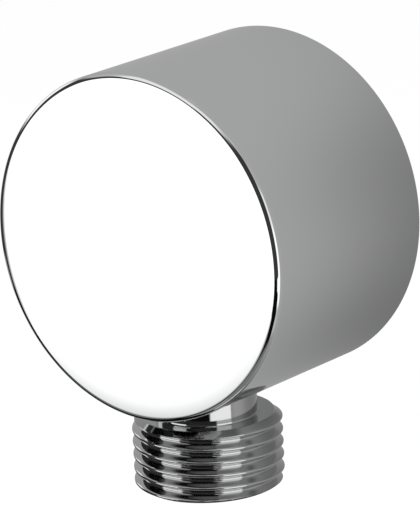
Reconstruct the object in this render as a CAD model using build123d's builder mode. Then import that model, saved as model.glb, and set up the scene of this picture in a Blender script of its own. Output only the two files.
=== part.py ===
"""Wall outlet elbow: a round polished drum that screws onto a wall pipe, with a hose nipple below.

Millimetres. The wall is the plane y = 0 and the drum stands out from it toward -Y.
The nipple points down, toward -Z. The hose thread is drawn as rings with its true pitch and flanks,
and the inlet thread as a plain wall of its outer diameter.
"""
import math
import os

from build123d import *

os.makedirs("parts", exist_ok=True)

# Drum
drum_diameter = 48.0
drum_length = 32.0
front_edge_radius = 0.7
rear_edge_chamfer = 0.3
drum_radius = drum_diameter / 2

# Inlet: a half inch pipe thread from the wall side, then the water chamber with its drill tip
pipe_thread_diameter = 20.955
inlet_thread_depth = 14.0
inlet_lead = 0.8
chamber_step = 2.0
chamber_run_past = 1.0
drill_tip_rise = 4.0
inlet_thread_radius = pipe_thread_diameter / 2
chamber_radius = inlet_thread_radius - chamber_step

# Nipple: a half inch hose thread below a flat shoulder, on a plain neck that screws into the drum
nipple_from_front = 13.6
hose_thread_diameter = 20.8
hose_thread_length = 10.0
hose_thread_height = 1.162
hose_thread_pitch = 1.814
hose_thread_flank = 27.5
hose_thread_grooves = 4
first_groove_drop = 2.53
shoulder_lead_height = 0.65
end_lead = 0.5
neck_diameter = 14.0
neck_show = 2.4
neck_lead = 0.4
neck_fit = 0.05
seat_wall = 2.0
waterway_radius = 4.5
hex_across_flats = 10.0
hex_depth = 6.0
nipple_setback = drum_length - nipple_from_front
hose_thread_radius = hose_thread_diameter / 2
shoulder_radius = hose_thread_radius - hose_thread_height
groove_half_width = hose_thread_height * math.tan(math.radians(hose_thread_flank))
end_radius = hose_thread_radius - end_lead
neck_radius = neck_diameter / 2
socket_radius = neck_radius + neck_fit
seat_drop = inlet_thread_radius + seat_wall
shoulder_drop = drum_radius + neck_show
end_drop = shoulder_drop + hose_thread_length
chamber_end = nipple_setback + waterway_radius + chamber_run_past

# Seal ring in its groove near the top of the neck
seal_inset = 3.0
seal_width = 1.6
seal_groove_width = 2.0
seal_groove_depth = 1.2
seal_corner = 0.4
seal_drop = seat_drop + seal_inset
seal_groove_radius = neck_radius - seal_groove_depth

# Hollow back of the drum: the rim meets the wall, and a bridge joins the inlet boss to the nipple
rim_thickness = 3.5
rear_setback = 1.0
boss_wall = 4.5
bridge_wall = 3.5
front_wall = 8.0
hollow_corner_radius = 1.5
hollow_radius = drum_radius - rim_thickness
boss_radius = inlet_thread_radius + boss_wall
bridge_width = neck_diameter + 2 * bridge_wall
hollow_depth = drum_length - front_wall

nipple_plane = Plane(origin=(0, -nipple_setback, 0), x_dir=(1, 0, 0), z_dir=(0, -1, 0))
nipple_axis = Axis((0, -nipple_setback, 0), (0, 0, 1))
under_plane = Plane(origin=(0, -nipple_setback, -drum_radius), z_dir=(0, 0, -1))
end_plane = Plane(origin=(0, -nipple_setback, -end_drop), z_dir=(0, 0, -1))

# Drum body
with BuildPart() as drum_body:
    with BuildSketch(Plane.XZ):
        Circle(drum_radius)
    extrude(amount=drum_length)
    drum_rims = drum_body.edges().filter_by(GeomType.CIRCLE).sort_by(Axis.Y)
    fillet(drum_rims[0], front_edge_radius)
    chamfer(drum_rims[-1], rear_edge_chamfer)
    with BuildSketch(Plane.XZ):
        Circle(hollow_radius)
    extrude(amount=rear_setback, mode=Mode.SUBTRACT)
    with BuildSketch(Plane.XZ) as hollow:
        Circle(hollow_radius)
        Circle(boss_radius, mode=Mode.SUBTRACT)
        with Locations((0, -hollow_radius / 2)):
            Rectangle(bridge_width, hollow_radius, mode=Mode.SUBTRACT)
        fillet(hollow.vertices(), hollow_corner_radius)
    extrude(amount=hollow_depth, mode=Mode.SUBTRACT)
    with BuildSketch(Plane.XY):
        with BuildLine():
            Polyline(
                (0, -rear_setback),
                (inlet_thread_radius + inlet_lead, -rear_setback),
                (inlet_thread_radius, -rear_setback - inlet_lead),
                (inlet_thread_radius, -rear_setback - inlet_thread_depth),
                (chamber_radius, -rear_setback - inlet_thread_depth),
                (chamber_radius, -chamber_end),
                (0, -chamber_end - drill_tip_rise),
                close=True,
            )
        make_face()
    revolve(axis=Axis.Y, mode=Mode.SUBTRACT)
    with Locations(under_plane):
        CounterBoreHole(waterway_radius, socket_radius, drum_radius - seat_drop, drum_radius)
drum_body.part.label = "drum_body"

# Outlet nipple
thread_outline = []
for groove in range(hose_thread_grooves):
    groove_drop = shoulder_drop + first_groove_drop + groove * hose_thread_pitch
    thread_outline += [
        (hose_thread_radius, -groove_drop + groove_half_width),
        (shoulder_radius, -groove_drop),
        (hose_thread_radius, -groove_drop - groove_half_width),
    ]
with BuildPart() as outlet_nipple:
    with BuildSketch(nipple_plane):
        with BuildLine():
            Polyline(
                (waterway_radius, -seat_drop),
                (neck_radius - neck_lead, -seat_drop),
                (neck_radius, -seat_drop - neck_lead),
                (neck_radius, -seal_drop + seal_groove_width / 2),
                (seal_groove_radius, -seal_drop + seal_groove_width / 2),
                (seal_groove_radius, -seal_drop - seal_groove_width / 2),
                (neck_radius, -seal_drop - seal_groove_width / 2),
                (neck_radius, -shoulder_drop),
                (shoulder_radius, -shoulder_drop),
                (hose_thread_radius, -shoulder_drop - shoulder_lead_height),
                *thread_outline,
                (hose_thread_radius, -end_drop + end_lead),
                (end_radius, -end_drop),
                (waterway_radius, -end_drop),
                close=True,
            )
        make_face()
    revolve(axis=nipple_axis)
    with BuildSketch(end_plane):
        RegularPolygon(hex_across_flats / 2, 6, major_radius=False)
    extrude(amount=-hex_depth, mode=Mode.SUBTRACT)
outlet_nipple.part.label = "outlet_nipple"

# Seal ring, as squeezed between its groove and the socket
with BuildPart() as nipple_seal_ring:
    with BuildSketch(nipple_plane) as seal_section:
        with Locations(((seal_groove_radius + socket_radius) / 2, -seal_drop)):
            Rectangle(socket_radius - seal_groove_radius, seal_width)
        chamfer(seal_section.vertices(), seal_corner)
    revolve(axis=nipple_axis)
nipple_seal_ring.part.label = "nipple_seal_ring"

export_step(drum_body.part, "parts/drum_body.step")
export_step(outlet_nipple.part, "parts/outlet_nipple.step")
export_step(nipple_seal_ring.part, "parts/nipple_seal_ring.step")
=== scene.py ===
import math

import bmesh
import bpy
import numpy as np
from bpy.props import FloatProperty, FloatVectorProperty, IntProperty, PointerProperty
from mathutils import Matrix, Vector


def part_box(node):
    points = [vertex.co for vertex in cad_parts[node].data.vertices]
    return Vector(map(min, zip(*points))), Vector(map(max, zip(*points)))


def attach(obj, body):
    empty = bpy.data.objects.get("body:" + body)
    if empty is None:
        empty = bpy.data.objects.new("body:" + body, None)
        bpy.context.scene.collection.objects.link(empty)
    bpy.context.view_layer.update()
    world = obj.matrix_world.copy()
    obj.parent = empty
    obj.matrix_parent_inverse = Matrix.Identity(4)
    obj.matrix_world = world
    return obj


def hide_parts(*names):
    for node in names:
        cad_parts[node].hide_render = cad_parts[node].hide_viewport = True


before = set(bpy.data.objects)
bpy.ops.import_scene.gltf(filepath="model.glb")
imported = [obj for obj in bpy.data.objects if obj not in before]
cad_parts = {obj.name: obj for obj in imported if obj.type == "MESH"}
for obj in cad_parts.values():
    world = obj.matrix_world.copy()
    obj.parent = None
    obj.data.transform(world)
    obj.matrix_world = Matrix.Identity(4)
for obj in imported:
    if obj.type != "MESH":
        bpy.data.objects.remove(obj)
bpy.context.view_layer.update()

bl_info = {
    "name": "Wall Outlet Elbow",
    "version": (1, 0, 0),
    "blender": (4, 5, 0),
    "location": "View3D > Sidebar > Outlet Elbow",
    "description": "Plates the drum, cuts both pipe threads and sets up a small studio",
    "category": "Add Mesh",
}

DRUM_LOW, DRUM_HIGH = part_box("drum_body")
NIPPLE_LOW, NIPPLE_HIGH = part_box("outlet_nipple")
MM = 0.001
PICTURE_HEIGHT = 528
MERGE_DISTANCE = 2e-7
SHORTEST_EDGE = 1e-8
SHARP_ANGLE = math.radians(32)


class DrumSettings(bpy.types.PropertyGroup):
    """Sizes and colours of the plated drum."""

    plating: FloatProperty(
        name="Plating", description="Thickness of the plating over the brass",
        default=0.005 * MM, unit="LENGTH",
    )
    front_edge: FloatProperty(
        name="Front edge", description="Radius of the front edge", default=0.7 * MM, unit="LENGTH"
    )
    rear_edge: FloatProperty(
        name="Rear edge", description="Chamfer of the rear edge", default=0.3 * MM, unit="LENGTH"
    )
    socket: FloatProperty(
        name="Socket", description="Radius of the hole that takes the nipple",
        default=7.05 * MM, unit="LENGTH",
    )
    columns: IntProperty(name="Columns", description="Points round one ring", default=288)
    window: FloatProperty(
        name="Window", description="Half depth of the finer mesh round the socket",
        default=9.0 * MM, unit="LENGTH",
    )
    roll_off: FloatProperty(
        name="Roll-off", description="Width of the buffed band inside the front edge",
        default=1.8 * MM, unit="LENGTH",
    )
    roll_slope: FloatProperty(
        name="Roll-off slope", description="Slope of the front where it meets its edge",
        default=0.05,
    )
    buff: FloatProperty(
        name="Buffed edge", description="Width over which buffing flattens the front edge",
        default=0.6 * MM, unit="LENGTH",
    )
    buff_start: FloatProperty(
        name="Buffed from", description="Where the buffed edge starts, in from the side",
        default=0.83 * MM, unit="LENGTH",
    )
    buff_slope: FloatProperty(
        name="Buffed slope", description="Steepest slope of the buffed edge",
        default=0.22,
    )
    chrome: FloatVectorProperty(
        name="Chrome", description="Colour of the polished plating",
        default=(0.80, 0.805, 0.81), subtype="COLOR",
    )
    brass: FloatVectorProperty(
        name="Brass", description="Colour of the bare brass inside",
        default=(0.62, 0.47, 0.24), subtype="COLOR",
    )


class NippleSettings(bpy.types.PropertyGroup):
    """Sizes and colours of the threaded nipple."""

    pitch: FloatProperty(
        name="Pitch", description="Pitch of both threads",
        default=1.814 * MM, unit="LENGTH",
    )
    height: FloatProperty(
        name="Height", description="Height of the outside thread",
        default=1.162 * MM, unit="LENGTH",
    )
    crest: FloatProperty(
        name="Crest", description="Width between the flanks at a crest",
        default=0.302 * MM, unit="LENGTH",
    )
    rounding: FloatProperty(
        name="Rounding", description="How softly a crest and a root are rounded",
        default=0.085 * MM, unit="LENGTH",
    )
    flank: FloatProperty(
        name="Flank", description="Angle of a flank to the plane across the axis",
        default=math.radians(27.5), subtype="ANGLE",
    )
    phase: FloatProperty(
        name="Start", description="Turn at which the outside thread starts",
        default=math.radians(193.0), subtype="ANGLE",
    )
    hand: IntProperty(
        name="Hand", description="1 for a right-hand outside thread, -1 for a left-hand one",
        default=-1,
    )
    neck: FloatProperty(
        name="Neck", description="Radius of the plain neck",
        default=7.0 * MM, unit="LENGTH",
    )
    shoulder_drop: FloatProperty(
        name="Shoulder", description="Drop of the shoulder below the drum's axis",
        default=26.4 * MM, unit="LENGTH",
    )
    shoulder: FloatProperty(
        name="Shoulder radius", description="Radius of the flat shoulder",
        default=9.238 * MM, unit="LENGTH",
    )
    shoulder_lead: FloatProperty(
        name="Upper lead", description="Height of the lead below the shoulder",
        default=0.65 * MM, unit="LENGTH",
    )
    end_lead: FloatProperty(
        name="Lower lead", description="Height and width of the lead at the end",
        default=0.5 * MM, unit="LENGTH",
    )
    water_way: FloatProperty(
        name="Water way", description="Radius of the water way", default=4.5 * MM, unit="LENGTH"
    )
    hexagon: FloatProperty(
        name="Hexagon", description="Hexagon socket, across flats", default=10.0 * MM, unit="LENGTH"
    )
    hexagon_depth: FloatProperty(
        name="Hexagon depth", description="Depth of the hexagon socket",
        default=6.0 * MM, unit="LENGTH",
    )
    hexagon_lead: FloatProperty(
        name="Hexagon lead", description="Lead at the mouth of the hexagon socket",
        default=0.25 * MM, unit="LENGTH",
    )
    end_rounding: FloatProperty(
        name="End rounding", description="Height over which the lower lead is rounded at the end",
        default=0.3 * MM, unit="LENGTH",
    )
    foot: FloatProperty(
        name="Foot", description="Radius of the fillet where the neck meets the shoulder",
        default=0.1 * MM, unit="LENGTH",
    )
    neck_lead: FloatProperty(
        name="Neck lead", description="Lead at the neck's upper end",
        default=0.4 * MM, unit="LENGTH",
    )
    groove_width: FloatProperty(
        name="Groove width", description="Width of the seal groove",
        default=2.0 * MM, unit="LENGTH",
    )
    groove_depth: FloatProperty(
        name="Groove depth", description="Depth of the seal groove",
        default=1.2 * MM, unit="LENGTH",
    )
    groove_drop: FloatProperty(
        name="Seal groove", description="Drop of the seal groove below the neck's top",
        default=3.0 * MM, unit="LENGTH",
    )
    columns: IntProperty(name="Columns", description="Points round one turn", default=240)
    chrome: FloatVectorProperty(
        name="Turned chrome", description="Colour of the turned plating",
        default=(0.61, 0.612, 0.615), subtype="COLOR",
    )
    rubber: FloatVectorProperty(
        name="Rubber", description="Colour of the seal ring",
        default=(0.03, 0.03, 0.032), subtype="COLOR",
    )


class InletSettings(bpy.types.PropertyGroup):
    """Sizes of the inlet thread at the back of the drum."""

    radius: FloatProperty(
        name="Radius", description="Outer radius of the inlet thread",
        default=10.4775 * MM, unit="LENGTH",
    )
    mouth: FloatProperty(
        name="Mouth", description="Depth at which it starts",
        default=1.9 * MM, unit="LENGTH",
    )
    depth: FloatProperty(
        name="Depth", description="Depth at which it ends",
        default=14.6 * MM, unit="LENGTH",
    )
    first_crest: FloatProperty(
        name="First crest", description="Depth of the first crest below the mouth",
        default=0.9 * MM, unit="LENGTH",
    )
    run_out: FloatProperty(
        name="Run-out", description="Turn over which the thread rises from nothing at each end",
        default=1.2, subtype="ANGLE",
    )
    columns: IntProperty(name="Columns", description="Points round one turn", default=160)


class StudioSettings(bpy.types.PropertyGroup):
    """Camera, floor, grey backing and lamp."""

    azimuth: FloatProperty(
        name="Azimuth", description="Camera's turn round the drum",
        default=math.radians(38.765), subtype="ANGLE",
    )
    elevation: FloatProperty(
        name="Elevation", description="Camera's height over the horizon",
        default=math.radians(15.768), subtype="ANGLE",
    )
    roll: FloatProperty(
        name="Roll", description="Camera's turn about its own axis",
        default=math.radians(-2.782), subtype="ANGLE",
    )
    distance: FloatProperty(
        name="Distance", description="Camera's distance",
        default=533.3 * MM, unit="LENGTH",
    )
    focal_pixels: FloatProperty(
        name="Focal length", description="Focal length in picture points",
        default=3909.0,
    )
    aim_right: FloatProperty(
        name="Aim right", description="Camera's aim, to the right",
        default=-0.08 * MM, unit="LENGTH",
    )
    aim_up: FloatProperty(
        name="Aim up", description="Camera's aim, upward",
        default=-0.965 * MM, unit="LENGTH",
    )
    aim_drop: FloatProperty(
        name="Aim drop", description="Drop of the aim below the drum's axis",
        default=5.0 * MM, unit="LENGTH",
    )
    floor_drop: FloatProperty(
        name="Floor", description="Drop of the floor below the drum's axis",
        default=500 * MM, unit="LENGTH",
    )
    backing: FloatProperty(
        name="Backing", description="Distance of the grey card behind the wall face",
        default=7.5 * MM, unit="LENGTH",
    )
    backing_tone: FloatProperty(
        name="Backing tone", description="Brightness of the grey card",
        default=0.448,
    )
    # Painted shadows of the elbow on the grey card
    upper_shade: FloatVectorProperty(
        name="Upper shade", size=4,
        description="Middle and spread of the upper shade: right, up, width, height",
        default=(30.3 * MM, 11.1 * MM, 13.7 * MM, 13.7 * MM), unit="LENGTH",
    )
    lower_shade: FloatVectorProperty(
        name="Lower shade", size=4,
        description="Middle and spread of the lower shade: right, up, width, height",
        default=(17.1 * MM, -15.7 * MM, 18.0 * MM, 21.9 * MM), unit="LENGTH",
    )
    shade_tones: FloatVectorProperty(
        name="Shade tones", description="What the upper and the lower shade take from the card", size=2,
        default=(0.087, 0.235),
    )
    # Painted shade in the grey card's lower corner
    corner_shade_tone: FloatProperty(
        name="Corner tone", description="What the dark lower corner takes from it",
        default=0.3,
    )
    # Painted shade at the grey card's foot
    low_tone: FloatProperty(
        name="Foot tone", description="Share of its brightness that the grey card keeps at its foot",
        default=0.48,
    )
    lamp_power: FloatProperty(name="Lamp power", description="Power of the lamp", default=30.0, unit="POWER")
    lamp_size: FloatProperty(name="Lamp size", description="Side of the lamp", default=0.8, unit="LENGTH")
    lamp_place: FloatVectorProperty(
        name="Lamp place", description="Place of the lamp",
        default=(0.0, -0.1, 1.1), subtype="TRANSLATION",
    )


class TentSettings(bpy.types.PropertyGroup):
    """Places and tones of the cards that the polish reflects."""

    distance: FloatProperty(
        name="Distance", description="Distance of the cards from the drum's middle",
        default=450 * MM, unit="LENGTH",
    )
    far_card: FloatProperty(
        name="Far card", description="Turn at which the far left card ends",
        default=math.radians(-83), subtype="ANGLE",
    )
    left_flag: FloatProperty(
        name="Left flag", description="Turn at which the left flag ends",
        default=math.radians(-45.4), subtype="ANGLE",
    )
    left_card: FloatProperty(
        name="Left card", description="Turn at which the left card ends",
        default=math.radians(-9), subtype="ANGLE",
    )
    flag: FloatProperty(
        name="Middle flag", description="Turn at which the middle flag ends",
        default=math.radians(44), subtype="ANGLE",
    )
    roof: FloatProperty(
        name="Roof", description="Height at which the roof starts",
        default=math.radians(56), subtype="ANGLE",
    )
    floor: FloatProperty(
        name="Floor", description="Height at which the floor ends",
        default=math.radians(-47), subtype="ANGLE",
    )
    left_upper_tone: FloatProperty(
        name="Left card, upper", description="What the left card gains in its upper part",
        default=0.95,
    )
    left_lower_tone: FloatProperty(
        name="Left card, lower", description="Brightness of the left card's lower part",
        default=0.45,
    )
    right_tone: FloatProperty(
        name="Right card", description="Brightness of the right card",
        default=1.26,
    )
    low_tone: FloatProperty(
        name="Low card", description="Brightness of the low card under the left flag",
        default=0.2,
    )
    strip_tone: FloatProperty(
        name="Far strip", description="Brightness of the strip under the far card",
        default=0.38,
    )
    flag_tone: FloatProperty(
        name="Flags", description="What the flags gain in their upper part",
        default=0.04,
    )
    black_tone: FloatProperty(
        name="Black", description="Brightness of the flags",
        default=0.004,
    )
    above_tone: FloatProperty(
        name="Overhead", description="Brightness of the cards above",
        default=0.95,
    )
    roof_tone: FloatProperty(
        name="Roof tone", description="Brightness of the roof",
        default=0.45,
    )
    floor_tone: FloatProperty(
        name="Floor tone", description="Brightness of the floor below",
        default=0.2,
    )


class Sum:
    """A shader socket that takes part in Python sums; each sum adds a Math node."""

    def __init__(self, tree, socket):
        self.tree, self.socket = tree, socket

    def combine(self, operation, first, second=0.0):
        node = self.tree.nodes.new("ShaderNodeMath")
        node.operation = operation
        plug(self.tree, node.inputs[0], first)
        plug(self.tree, node.inputs[1], second)
        return Sum(self.tree, node.outputs[0])

    def __add__(self, other):
        return self.combine("ADD", self, other)

    def __radd__(self, other):
        return self.combine("ADD", other, self)

    def __sub__(self, other):
        return self.combine("SUBTRACT", self, other)

    def __rsub__(self, other):
        return self.combine("SUBTRACT", other, self)

    def __mul__(self, other):
        return self.combine("MULTIPLY", self, other)

    def __truediv__(self, other):
        return self.combine("DIVIDE", self, other)

    def above(self, level):
        return self.combine("MAXIMUM", self, level)

    def below(self, level):
        return self.combine("MINIMUM", self, level)

    def sine(self):
        return self.combine("SINE", self)

    def cosine(self):
        return self.combine("COSINE", self)

    def degrees_from(self, other):
        return self.combine("ARCTAN2", self, other) * (180 / math.pi)

    def arc_sine(self):
        return self.combine("ARCSINE", self) * (180 / math.pi)

    def fade(self):
        return self.combine("EXPONENT", 0.0 - self)

    def root(self):
        return self.combine("SQRT", self)


def plug(tree, socket, value):
    """Links a Sum to a socket, or sets the socket to a plain value."""
    if isinstance(value, Sum):
        tree.links.new(value.socket, socket)
    else:
        socket.default_value = value


class Finish:
    """A material under construction."""

    def __init__(self, name):
        self.material = bpy.data.materials.new(name)
        self.material.use_nodes = True
        self.tree = self.material.node_tree
        self.tree.nodes.clear()
        self.output = self.tree.nodes.new("ShaderNodeOutputMaterial")

    def node(self, kind, settings=None, inputs=None, output=0):
        """Adds a node, sets its settings first and then its sockets, and returns one of its outputs."""
        made = self.tree.nodes.new(kind)
        for key, value in (settings or {}).items():
            setattr(made, key, value)
        for key, value in (inputs or {}).items():
            plug(self.tree, made.inputs[key], value)
        return Sum(self.tree, made.outputs[output])

    def place(self):
        """Object coordinates as one vector, in metres."""
        return self.node("ShaderNodeTexCoord", output="Object")

    def split(self, vector):
        """The three values of a vector."""
        made = self.tree.nodes.new("ShaderNodeSeparateXYZ")
        plug(self.tree, made.inputs[0], vector)
        return [Sum(self.tree, output) for output in made.outputs]

    def noise(self, vector, scale, detail=3.0):
        inputs = {"Vector": vector, "Scale": scale, "Detail": detail, "Roughness": 0.55}
        return self.node("ShaderNodeTexNoise", inputs=inputs)

    def stretch(self, vector, scale):
        return self.node("ShaderNodeVectorMath", {"operation": "MULTIPLY"}, {0: vector, 1: scale})

    def bump(self, height):
        """Normal of a surface raised by a height in metres."""
        return self.node("ShaderNodeBump", inputs={"Height": height, "Distance": 1.0, "Strength": 1.0})

    def metal(self, colour, roughness, normal=None, edge=1.0):
        """A metal; edge is how bright it is at a glance, against plain white."""
        inputs = {"Base Color": colour, "Metallic": 1.0, "Roughness": roughness}
        inputs["Specular Tint"] = (edge, edge, edge, 1.0)
        if normal is not None:
            inputs["Normal"] = normal
        return self.finish(self.node("ShaderNodeBsdfPrincipled", inputs=inputs))

    def tint(self, amount, first, second):
        inputs = {"Factor": amount, 6: (*first, 1.0), 7: (*second, 1.0)}
        return self.node("ShaderNodeMix", {"data_type": "RGBA"}, inputs, output=2)

    def rise(self, value, edge, soft):
        """Nought below an edge and one above it, with a soft step between."""
        inputs = {"Value": value, "From Min": edge - soft, "From Max": edge + soft}
        return self.node("ShaderNodeMapRange", {"interpolation_type": "SMOOTHSTEP"}, inputs)

    def glow(self, tone):
        return self.finish(self.node("ShaderNodeEmission", inputs={"Color": tone, "Strength": 1.0}))

    def finish(self, shader):
        self.tree.links.new(shader.socket, self.output.inputs["Surface"])
        return self.material


def joined(name, sheets):
    """Joins grids of points, rows by columns, into one mesh: quads between neighbours, doubles merged.

    A sheet's faces look along (next row - row) x (next column - column).
    """
    points, quads, start = [], [], 0
    for sheet in sheets:
        rows, columns = sheet.shape[:2]
        index = start + np.arange(rows * columns).reshape(rows, columns)
        corners = (index[:-1, :-1], index[1:, :-1], index[1:, 1:], index[:-1, 1:])
        quads.append(np.stack([c.ravel() for c in corners], 1))
        points.append(sheet.reshape(-1, 3))
        start += rows * columns
    points, quads = np.concatenate(points), np.concatenate(quads)
    mesh = bpy.data.meshes.new(name)
    mesh.vertices.add(len(points))
    mesh.vertices.foreach_set("co", points.astype(np.float32).ravel())
    mesh.loops.add(quads.size)
    mesh.loops.foreach_set("vertex_index", quads.astype(np.int32).ravel())
    mesh.polygons.add(len(quads))
    mesh.polygons.foreach_set("loop_start", np.arange(0, quads.size, 4, dtype=np.int32))
    mesh.update(calc_edges=True)
    work = bmesh.new()
    work.from_mesh(mesh)
    bmesh.ops.remove_doubles(work, verts=work.verts, dist=MERGE_DISTANCE)
    bmesh.ops.dissolve_degenerate(work, edges=work.edges, dist=SHORTEST_EDGE)
    work.to_mesh(mesh)
    work.free()
    mesh.validate()
    mesh.shade_smooth()
    mesh.set_sharp_from_angle(angle=SHARP_ANGLE)
    thing = bpy.data.objects.new(name, mesh)
    bpy.context.scene.collection.objects.link(thing)
    return thing


def around_drum(radius, depth, turns):
    """Points of the drum's own rings: radius and depth by row, turn from straight down by column."""
    radius, depth = np.broadcast_arrays(np.atleast_1d(radius)[:, None], np.atleast_1d(depth)[:, None])
    turns = np.asarray(turns)[None, :]
    return np.stack(np.broadcast_arrays(radius * np.sin(turns), depth, -radius * np.cos(turns)), -1)


def drum_sheets(drum, setback):
    """The drum's skin: rings carried along its outline, with a fan of rings in a window round the socket.

    In the window, on the unrolled side, a point goes straight from the socket's rim to the border.
    """
    radius = DRUM_HIGH.x + drum.plating
    front = DRUM_LOW.y + drum.front_edge
    step = math.tau / drum.columns
    turns = np.arange(drum.columns + 1) * step - math.pi
    half_cells = 18
    cells = 2 * half_cells
    half_turn, half_depth = half_cells * step, drum.window
    near, far = -setback + half_depth, -setback - half_depth
    edge = np.linspace(math.pi / 2, 0, 13)
    inner = DRUM_HIGH.x - drum.front_edge
    edge_radius = inner + (drum.front_edge + drum.plating) * np.sin(edge)
    edge_depth = front - (drum.front_edge + drum.plating) * np.cos(edge)
    face_shares = np.array([1.0, 0.998, 0.99, 0.97, 0.94, 0.9, 0.8, 0.6, 0.4, 0.2, 0.0])
    face_radius = inner * face_shares
    outside = turns[turns > half_turn - step / 2]
    window_depth = np.linspace(near, far, cells + 1)
    sheets = [
        around_drum([radius - drum.rear_edge, radius], [0.0, -drum.rear_edge], turns),
        around_drum(radius, np.linspace(-drum.rear_edge, near, 8), turns),
        around_drum(radius, window_depth, outside),
        around_drum(radius, window_depth, -outside[::-1]),
        around_drum(radius, np.linspace(far, front, 8), turns),
        around_drum(edge_radius, edge_depth, turns),
        around_drum(face_radius, np.full(len(face_radius), DRUM_LOW.y - drum.plating), turns),
    ]
    along = np.linspace(-1, 1, cells + 1)[:-1]
    one = np.ones(cells)
    border_turn = np.concatenate([along, one, -along, -one, [-1.0]]) * half_turn
    border_depth = np.concatenate([-one, along, one, -along, [-1.0]]) * half_depth
    angle = np.arctan2(border_depth / half_depth, border_turn / half_turn)
    rim_turn = np.arcsin(drum.socket * np.cos(angle) / radius)
    rim_depth = drum.socket * np.sin(angle)
    crowding = 1.3
    share = (np.linspace(0, 1, 15) ** crowding)[:, None]
    turn = (1 - share) * rim_turn + share * border_turn
    depth = (1 - share) * rim_depth + share * border_depth - setback
    sheets.append(np.stack([radius * np.sin(turn), depth, -radius * np.cos(turn)], -1)[::-1])
    return sheets


def soft_min(first, second, width):
    """The lower of two values, rounded over where they meet."""
    return -width * np.logaddexp(-first / width, -second / width)


def thread_radius(along, crest_radius, nipple):
    """Radius of a thread by the distance along its axis from a crest: round crest, flank, round root."""
    along = np.abs((along + nipple.pitch / 2) % nipple.pitch - nipple.pitch / 2)
    flank = crest_radius - (along - nipple.crest / 2) / math.tan(nipple.flank)
    cut = soft_min(np.full_like(flank, crest_radius), flank, nipple.rounding)
    return -soft_min(-cut, np.full_like(cut, nipple.height - crest_radius), nipple.rounding)


def nipple_rows(nipple):
    """Rows of radius and height round the nipple's section, top to bottom outside and back up inside.

    Outside, the thread's rows climb with the turn, so that each follows the helix from shoulder to end.
    """
    turns = np.linspace(0, math.tau, nipple.columns + 1)
    flat = np.ones_like(turns)
    top, end = NIPPLE_HIGH.z, NIPPLE_LOW.z
    shoulder = -nipple.shoulder_drop
    crest_radius = NIPPLE_HIGH.x
    groove = top - nipple.groove_drop
    half_groove = nipple.groove_width / 2
    groove_radius = nipple.neck - nipple.groove_depth
    outline = [
        (nipple.water_way, top),
        (nipple.neck - nipple.neck_lead, top),
        (nipple.neck, top - nipple.neck_lead),
        (nipple.neck, groove + half_groove),
        (groove_radius, groove + half_groove),
        (groove_radius, groove - half_groove),
        (nipple.neck, groove - half_groove),
        (nipple.neck, groove - 4 * half_groove),
        (nipple.neck, shoulder + 3 * nipple.foot),
        (nipple.neck, shoulder + nipple.foot),
        (nipple.neck + 0.3 * nipple.foot, shoulder + 0.3 * nipple.foot),
        (nipple.neck + nipple.foot, shoulder),
        (nipple.neck + 6 * nipple.foot, shoulder),
        (nipple.shoulder - 2 * nipple.foot, shoulder),
    ]
    rows = [(radius * flat, height * flat) for radius, height in outline]
    on_crest = np.linspace(0, 0.3, 11)
    on_flank = np.linspace(0.36, 0.6, 4)
    in_root = np.linspace(0.65, 0.87, 5)
    half = np.concatenate([on_crest, on_flank, in_root]) * MM
    samples = np.concatenate([-half[:0:-1], half, [nipple.pitch / 2]])
    slope = (crest_radius - nipple.shoulder) / nipple.shoulder_lead
    end_radius = crest_radius - nipple.end_lead
    climb = nipple.pitch * (nipple.hand * turns + nipple.phase) / math.tau
    spare_laps = 2
    laps = math.ceil((shoulder - end) / nipple.pitch)
    for lap in range(spare_laps, -laps - spare_laps, -1):
        for sample in samples[::-1]:
            along = shoulder + lap * nipple.pitch + sample + climb
            height = np.clip(along, end, shoulder)
            radius = thread_radius(height - shoulder - climb, crest_radius, nipple)
            upper = nipple.shoulder + (shoulder - height) * slope
            up = height - end
            rounded = np.maximum(nipple.end_rounding - up, 0) ** 2 / (2 * nipple.end_rounding)
            lower = end_radius + up - rounded
            rows.append((np.minimum(np.minimum(radius, upper), lower), height))
    sixth = math.tau / 6
    socket = nipple.hexagon / 2 / np.cos(turns % sixth - sixth / 2)
    floor = end + nipple.hexagon_depth
    rows += [
        (socket + 2 * nipple.hexagon_lead, end * flat),
        (socket + nipple.hexagon_lead, end * flat),
        (socket, (end + nipple.hexagon_lead) * flat),
        (socket, floor * flat),
        (nipple.water_way * flat, floor * flat),
        (nipple.water_way * flat, top * flat),
    ]
    return turns, rows


def nipple_sheet(nipple, setback):
    """The whole nipple as one sheet: every row goes once round the axis."""
    turns, rows = nipple_rows(nipple)
    radius = np.array([r for r, _ in rows])
    height = np.array([h for _, h in rows])
    return np.stack([radius * np.cos(turns), radius * np.sin(turns) - setback, height], -1)


def inlet_sheet(inlet, nipple):
    """The inlet's thread: a ridge carried along a helix, with its foot in the wall, run out at both ends.

    The section goes up one flank, over the crest, down the other flank and back through the wall.
    """
    laps = (inlet.depth - inlet.mouth) / nipple.pitch - 1.0
    turns = np.linspace(0, laps * math.tau, int(laps * inlet.columns))[:, None]
    thinnest = 0.02
    fade = np.clip(np.minimum(turns, turns[-1] - turns) / inlet.run_out, thinnest, 1.0)
    half_across = np.array([0.86, 0.62, 0.2, 0.12]) * MM
    half_rise = np.array([-0.03, 0.30, 1.06, 1.10]) * MM
    in_wall = -0.1 * MM
    across = np.concatenate([-half_across, half_across[::-1], [0.0], -half_across[:1]])
    rise = np.concatenate([half_rise, half_rise[::-1], [in_wall], half_rise[:1]])
    radius = inlet.radius - rise * fade
    depth = -inlet.mouth - inlet.first_crest - nipple.pitch * turns / math.tau + across
    points = np.stack([radius * np.cos(turns), depth, radius * np.sin(turns)], -1)
    caps = [np.repeat(points[k].mean(0)[None, None], points.shape[1], 1) for k in (0, -1)]
    return np.concatenate([caps[0], points, caps[1]])


def darker(colour, share):
    """A colour that keeps only a share of its brightness."""
    return tuple(share * c for c in colour)


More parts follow.
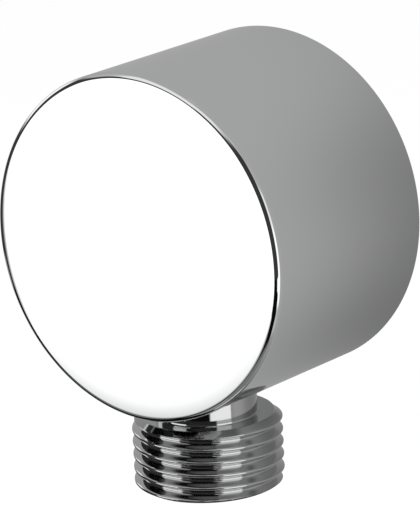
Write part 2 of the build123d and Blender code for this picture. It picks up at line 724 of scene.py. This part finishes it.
def polished_chrome(drum):
    """Mirror plating: faint buffing haze, and a front that rolls off a little toward its edge."""
    paint = Finish("polished_chrome")
    place = paint.place()
    x, _, z = paint.split(place)
    reach = (x * x + z * z).root()
    start = DRUM_HIGH.x - drum.front_edge - drum.roll_off
    over = (reach - start).above(0.0)
    fall = over * over * (-0.5 * drum.roll_slope / drum.roll_off)
    buffed = (reach - (DRUM_HIGH.x - drum.buff_start)).above(0.0)
    wave = (buffed * (math.pi / drum.buff)).below(math.pi)
    fall = fall - (1.0 - wave.cosine()) * (drum.buff_slope * drum.buff / math.pi)
    haze = paint.noise(paint.stretch(place, (60.0, 260.0, 60.0)), 4.0)
    roughness = 0.012 + haze * 0.03
    return paint.metal((*drum.chrome, 1.0), roughness, paint.bump(fall), edge=0.93)


def turned_chrome(nipple):
    """Plating over a turned surface: fine rings round the axis, a faint haze and a darker shoulder."""
    paint = Finish("turned_chrome")
    place = paint.place()
    x, y, z = paint.split(place)
    away = y + nipple_setback()
    reach = (x * x + away * away).root()
    rings = paint.noise(paint.stretch(place, (120.0, 120.0, 14000.0)), 1.0, detail=2.0)
    ring_height = 0.3e-6
    haze = paint.noise(place, 900.0)
    # Darker chrome on the shoulder and the top of the first thread, just under the drum
    above_thread = paint.rise(z, edge=-nipple.shoulder_drop - 0.6 * MM, soft=0.2 * MM)
    outside_neck = paint.rise(reach, edge=nipple.neck + nipple.foot, soft=nipple.foot / 2)
    colour = paint.tint(above_thread * outside_neck, nipple.chrome, darker(nipple.chrome, share=0.75))
    roughness = 0.05 + haze * 0.06
    return paint.metal(colour, roughness, paint.bump(rings * ring_height))


def cast_brass(drum):
    """Brass as cast in the hollow, turned on the boss and the rim."""
    paint = Finish("cast_brass")
    place = paint.place()
    x, y, z = paint.split(place)
    grain = paint.noise(place, 2600.0, detail=4.0)
    grain_height = 5e-5
    stain = paint.noise(place, 180.0)
    reach = (x * x + z * z).root()
    ring_frequency = 26000.0
    rings = (reach * ring_frequency).sine()
    ring_height = 8e-7
    turned_depth, turned_soft = 1.6 * MM, 0.25 * MM
    turned = ((y + turned_depth) / turned_soft).above(0.0).below(1.0)
    height = grain * grain_height * (1.0 - turned) + rings * ring_height * turned
    colour = paint.tint(stain, darker(drum.brass, share=0.72), drum.brass)
    roughness = 0.5 - turned * 0.22 + stain * 0.1
    return paint.metal(colour, roughness, paint.bump(height))


def threaded_brass(drum):
    """Freshly cut brass of the inlet thread."""
    paint = Finish("threaded_brass")
    haze = paint.noise(paint.place(), 1200.0)
    colour = paint.tint(haze, darker(drum.brass, share=0.9), drum.brass)
    roughness = 0.22 + haze * 0.1
    return paint.metal(colour, roughness)


def seal_rubber(nipple):
    """Matt black rubber with a little bloom."""
    paint = Finish("seal_rubber")
    bloom = paint.noise(paint.place(), 1500.0)
    pale = tuple(c + 0.03 for c in nipple.rubber)
    inputs = {"Base Color": paint.tint(bloom, nipple.rubber, pale), "Roughness": 0.55 + bloom * 0.2}
    return paint.finish(paint.node("ShaderNodeBsdfPrincipled", inputs=inputs))


def coat(thing, material):
    """Gives an object one material."""
    thing.data.materials.clear()
    thing.data.materials.append(material)


def dress(thing, material):
    """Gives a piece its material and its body."""
    coat(thing, material)
    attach(thing, "root")


def nipple_setback():
    """Distance of the nipple's axis from the wall."""
    return -(NIPPLE_LOW.y + NIPPLE_HIGH.y) / 2


class ELBOW_OT_drum(bpy.types.Operator):
    """Plate the drum and finish the brass at its back"""

    bl_idname = "elbow.drum"
    bl_label = "Drum"

    def execute(self, context):
        drum = context.scene.elbow_drum
        skin = joined("drum_plating", drum_sheets(drum, nipple_setback()))
        dress(skin, polished_chrome(drum))
        coat(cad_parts["drum_body"], cast_brass(drum))
        return {"FINISHED"}


class ELBOW_OT_nipple(bpy.types.Operator):
    """Cut the nipple with its outside thread"""

    bl_idname = "elbow.nipple"
    bl_label = "Nipple"

    def execute(self, context):
        nipple = context.scene.elbow_nipple
        piece = joined("threaded_nipple", [nipple_sheet(nipple, nipple_setback())])
        dress(piece, turned_chrome(nipple))
        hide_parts("outlet_nipple")
        coat(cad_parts["nipple_seal_ring"], seal_rubber(nipple))
        return {"FINISHED"}


class ELBOW_OT_inlet(bpy.types.Operator):
    """Cut the thread in the inlet at the back"""

    bl_idname = "elbow.inlet"
    bl_label = "Inlet thread"

    def execute(self, context):
        scene = context.scene
        piece = joined("inlet_thread", [inlet_sheet(scene.elbow_inlet, scene.elbow_nipple)])
        dress(piece, threaded_brass(scene.elbow_drum))
        return {"FINISHED"}


def tent_points(tent):
    """A sphere round the drum, open at the right and behind: turn from the front by column, height by row."""
    turns = np.radians(np.linspace(-150, 100, 101))[None, :]
    heights = np.radians(np.linspace(-80, 90, 69))[:, None]
    across = np.cos(heights) * np.sin(turns), -np.cos(heights) * np.cos(turns), np.sin(heights)
    return tent.distance * np.stack(np.broadcast_arrays(*across), -1)


def tent_finish(tent):
    """Cards by turn from the front and height over the horizon, in degrees.

    From left to right stand a far card, a black flag, a white card, a wide black flag and a white card,
    with pale cards and a grey roof above them and a dark floor below.
    """
    paint = Finish("light_tent")
    x, y, z = paint.split(paint.place())
    turn = x.degrees_from(0.0 - y)
    height = (z / tent.distance).arc_sine()

    # Borders from left to right; some step sideways with the height
    upper = paint.rise(height, edge=-16.5, soft=1)
    lower = 1.0 - paint.rise(height, edge=-32, soft=3)
    low_band = paint.rise(height, edge=-36, soft=5) - paint.rise(height, edge=-23.5, soft=2)
    far_left = 1.0 - paint.rise(turn, edge=math.degrees(tent.far_card), soft=2)
    past_left_flag = paint.rise(turn, edge=math.degrees(tent.left_flag), soft=1)
    card_step = low_band * 12.0 + lower * 5.0
    past_left_card = paint.rise(turn - card_step, edge=math.degrees(tent.left_card), soft=2)
    flag_step = upper * 14.0 + lower * 6.0 + low_band * 10.0
    past_flag = paint.rise(turn - flag_step, edge=math.degrees(tent.flag), soft=2)

    # Middle row
    left_card = (past_left_flag - past_left_card) * (1.0 - paint.rise(height, edge=8, soft=3))
    left_upper = paint.rise(height, edge=-23, soft=8) * tent.left_upper_tone
    left_lower = paint.rise(height, edge=-39, soft=3) * tent.left_lower_tone
    low_side = paint.rise(turn, edge=-78, soft=4) - past_left_flag
    low_card = low_side * (paint.rise(height, edge=-52, soft=3) - paint.rise(height, edge=-32, soft=4))
    far_strip = far_left * (paint.rise(height, edge=-22, soft=1) - paint.rise(height, edge=-18, soft=1))
    right_high = paint.rise(height, edge=8, soft=6) * 0.35 + paint.rise(height, edge=28, soft=4) * 0.45
    right_tone = tent.right_tone - lower * 0.7 - right_high
    middle = left_card * (left_upper + left_lower) + past_flag * right_tone
    middle = middle + low_card * tent.low_tone + far_strip * tent.strip_tone
    middle = middle + upper * tent.flag_tone + tent.black_tone

    # Above them
    well_left = 1.0 - paint.rise(turn, edge=-58, soft=4)
    beyond = 1.0 - paint.rise(turn, edge=-122, soft=6)
    right_half = paint.rise(turn, edge=22, soft=10)
    far_right = paint.rise(turn, edge=70, soft=6)
    over_far = paint.rise(height + beyond * 26.0, edge=5, soft=3) * far_left
    over_left = paint.rise(height + well_left * 5.0, edge=36, soft=3) * (1.0 - far_left - past_left_flag)
    over_card = paint.rise(height, edge=31, soft=4) * (past_left_flag - past_left_card)
    over_flag = paint.rise(height, edge=37, soft=4) * (past_left_card - right_half)
    over_right = paint.rise(height, edge=45, soft=4) * right_half
    roof = paint.rise(height, edge=math.degrees(tent.roof), soft=4)
    above = (over_far + over_left + over_card + over_flag + over_right).above(roof)
    far_tone = 0.25 - paint.rise(height, edge=26, soft=3) * 0.75
    dimmed = right_half * 0.3 + far_right * 0.25 + (well_left - far_left) * 0.45
    above_tone = tent.above_tone - dimmed + far_left * far_tone
    above_tone = above_tone * (1.0 - roof) + roof * tent.roof_tone

    # Below them
    left_floor = 1.0 - paint.rise(turn, edge=math.degrees(tent.left_card), soft=4)
    floor_edge = math.degrees(tent.floor)
    below = (1.0 - paint.rise(height + left_floor * 8.0, edge=floor_edge, soft=4)) * past_left_flag
    below_tone = (past_flag + left_floor) * 0.08 + tent.floor_tone
    return paint.glow(middle * (1.0 - above) * (1.0 - below) + above * above_tone + below * below_tone)


def backing_points(studio):
    """A flat card behind the wall face: across by column, up by row."""
    left, reach = -100 * MM, 350 * MM
    across = np.linspace(left, reach, 41)[None, :]
    up = np.linspace(-reach, reach, 41)[:, None]
    return np.stack(np.broadcast_arrays(across, studio.backing, up), -1)


def backing_finish(studio):
    """Pale grey card: two soft painted shadows, painted shade in its lower corner and foot, painted light far
    right.
    """
    paint = Finish("grey_backing")
    x, _, z = paint.split(paint.place())
    tone = studio.backing_tone
    # Painted shadows: two soft dark patches where the elbow's own shadow would fall on the card
    for place, depth in zip((studio.upper_shade, studio.lower_shade), studio.shade_tones):
        right = (x - place[0]) / place[2]
        up = (z - place[1]) / place[3]
        tone = tone - ((right * right + up * up) * 0.5).fade() * depth
    # Painted shade: a dark lower corner of the card
    near = 1.0 - paint.rise(x, edge=16 * MM, soft=6 * MM)
    under = 1.0 - paint.rise(z, edge=-54 * MM, soft=3 * MM)
    # Painted shade: the card's foot keeps only part of its brightness
    high = paint.rise(z, edge=-62 * MM, soft=10 * MM)
    # Painted light: the card is lighter far to the right
    far_right = paint.rise(x, edge=75 * MM, soft=20 * MM)
    far_right_painted_light = 0.42
    light = (studio.low_tone + high * (1.0 - studio.low_tone) + far_right * far_right_painted_light).below(1.0)
    return paint.glow((tone - near * under * studio.corner_shade_tone) * light)


def card(name, points, finish):
    """A card that only polished surfaces see."""
    thing = joined(name, [points])
    coat(thing, finish)
    thing.visible_camera = False
    thing.visible_diffuse = False
    thing.visible_shadow = False
    thing.visible_transmission = False
    return thing


def floor_finish():
    """Pale floor: it takes the object's shadow, with a share of plain white, which is grey in polish."""
    paint = Finish("pale_floor")
    path = paint.tree.nodes.new("ShaderNodeLightPath")
    camera, glossy, through = (
        Sum(paint.tree, path.outputs[k]) for k in ("Is Camera Ray", "Is Glossy Ray", "Is Transmission Ray")
    )
    pale, polish_dimming, white_share = 0.86, 0.5, 0.8
    plain = paint.node("ShaderNodeBsdfDiffuse", inputs={"Color": (pale, pale, pale, 1.0)})
    white = paint.node("ShaderNodeEmission", inputs={"Color": 1.0 - glossy * polish_dimming, "Strength": 1.0})
    share = (camera + glossy + through).below(1.0) * white_share
    return paint.finish(paint.node("ShaderNodeMixShader", inputs={0: share, 1: plain, 2: white}))


def floor_points(studio):
    """A round floor: distance from the middle by row, turn by column."""
    sides = np.linspace(0, math.tau, 65)[None, :]
    reach = np.array([0.0, 1.0, 3.0, 12.0])[:, None]
    return np.stack(np.broadcast_arrays(reach * np.cos(sides), reach * np.sin(sides), -studio.floor_drop), -1)


def add_camera(scene, studio):
    """A camera that looks back along its azimuth and elevation at the aim, turned by its roll."""
    around, over, roll = studio.azimuth, studio.elevation, studio.roll
    back = Vector((math.sin(around) * math.cos(over), -math.cos(around) * math.cos(over), math.sin(over)))
    right = Vector((math.cos(around), math.sin(around), 0.0))
    up = back.cross(right)
    middle = Vector((0.0, DRUM_LOW.y / 2, -studio.aim_drop))
    aim = middle + right * studio.aim_right + up * studio.aim_up
    across = right * math.cos(roll) + up * math.sin(roll)
    upward = up * math.cos(roll) - right * math.sin(roll)
    lens = bpy.data.cameras.new("camera")
    lens.sensor_width = 36.0
    lens.lens = studio.focal_pixels * lens.sensor_width / PICTURE_HEIGHT
    lens.clip_start = 0.01
    lens.clip_end = 100.0
    camera = bpy.data.objects.new("camera", lens)
    place = Matrix((across, upward, back)).transposed().to_4x4()
    place.translation = aim + back * studio.distance
    camera.matrix_world = place
    scene.collection.objects.link(camera)
    scene.camera = camera


def add_lamp(scene, studio):
    """A soft lamp overhead, which polish doesn't show."""
    lamp = bpy.data.lights.new("top_lamp", "AREA")
    lamp.energy = studio.lamp_power
    lamp.size = studio.lamp_size
    light = bpy.data.objects.new("top_lamp", lamp)
    light.location = studio.lamp_place
    light.visible_glossy = False
    scene.collection.objects.link(light)


def add_world(scene):
    """A plain white room."""
    world = bpy.data.worlds.new("white_room")
    world.use_nodes = True
    tree = world.node_tree
    tree.nodes.clear()
    sky = tree.nodes.new("ShaderNodeBackground")
    sky.inputs["Color"].default_value = (1.0, 1.0, 1.0, 1.0)
    sky.inputs["Strength"].default_value = 1.0
    out = tree.nodes.new("ShaderNodeOutputWorld")
    tree.links.new(sky.outputs[0], out.inputs["Surface"])
    scene.world = world


class ELBOW_OT_studio(bpy.types.Operator):
    """Set up the camera, the floor, the cards and the lamp"""

    bl_idname = "elbow.studio"
    bl_label = "Studio"

    def execute(self, context):
        scene = context.scene
        studio = scene.elbow_studio
        add_camera(scene, studio)
        tent = card("light_tent", tent_points(scene.elbow_tent), tent_finish(scene.elbow_tent))
        backing = card("grey_backing", backing_points(studio), backing_finish(studio))
        floor = joined("floor", [floor_points(studio)])
        coat(floor, floor_finish())
        add_lamp(scene, studio)
        add_world(scene)
        scene.view_settings.view_transform = "Standard"
        return {"FINISHED"}


class ELBOW_PT_tools(bpy.types.Panel):
    """Steps that dress the outlet elbow, in order"""

    bl_label = "Outlet Elbow"
    bl_space_type = "VIEW_3D"
    bl_region_type = "UI"
    bl_category = "Outlet Elbow"

    def draw(self, context):
        for step in STEPS:
            self.layout.operator(step.bl_idname)


STEPS = (ELBOW_OT_drum, ELBOW_OT_nipple, ELBOW_OT_inlet, ELBOW_OT_studio)
SETTINGS = {
    "elbow_drum": DrumSettings,
    "elbow_nipple": NippleSettings,
    "elbow_inlet": InletSettings,
    "elbow_studio": StudioSettings,
    "elbow_tent": TentSettings,
}


def register():
    for kind in (*SETTINGS.values(), *STEPS, ELBOW_PT_tools):
        bpy.utils.register_class(kind)
    for name, kind in SETTINGS.items():
        setattr(bpy.types.Scene, name, PointerProperty(type=kind))


def unregister():
    for name in SETTINGS:
        delattr(bpy.types.Scene, name)
    for kind in (ELBOW_PT_tools, *reversed(STEPS), *reversed(SETTINGS.values())):
        bpy.utils.unregister_class(kind)


def main():
    register()
    bpy.ops.elbow.drum()
    bpy.ops.elbow.nipple()
    bpy.ops.elbow.inlet()
    bpy.ops.elbow.studio()


if __name__ == "__main__":
    main()
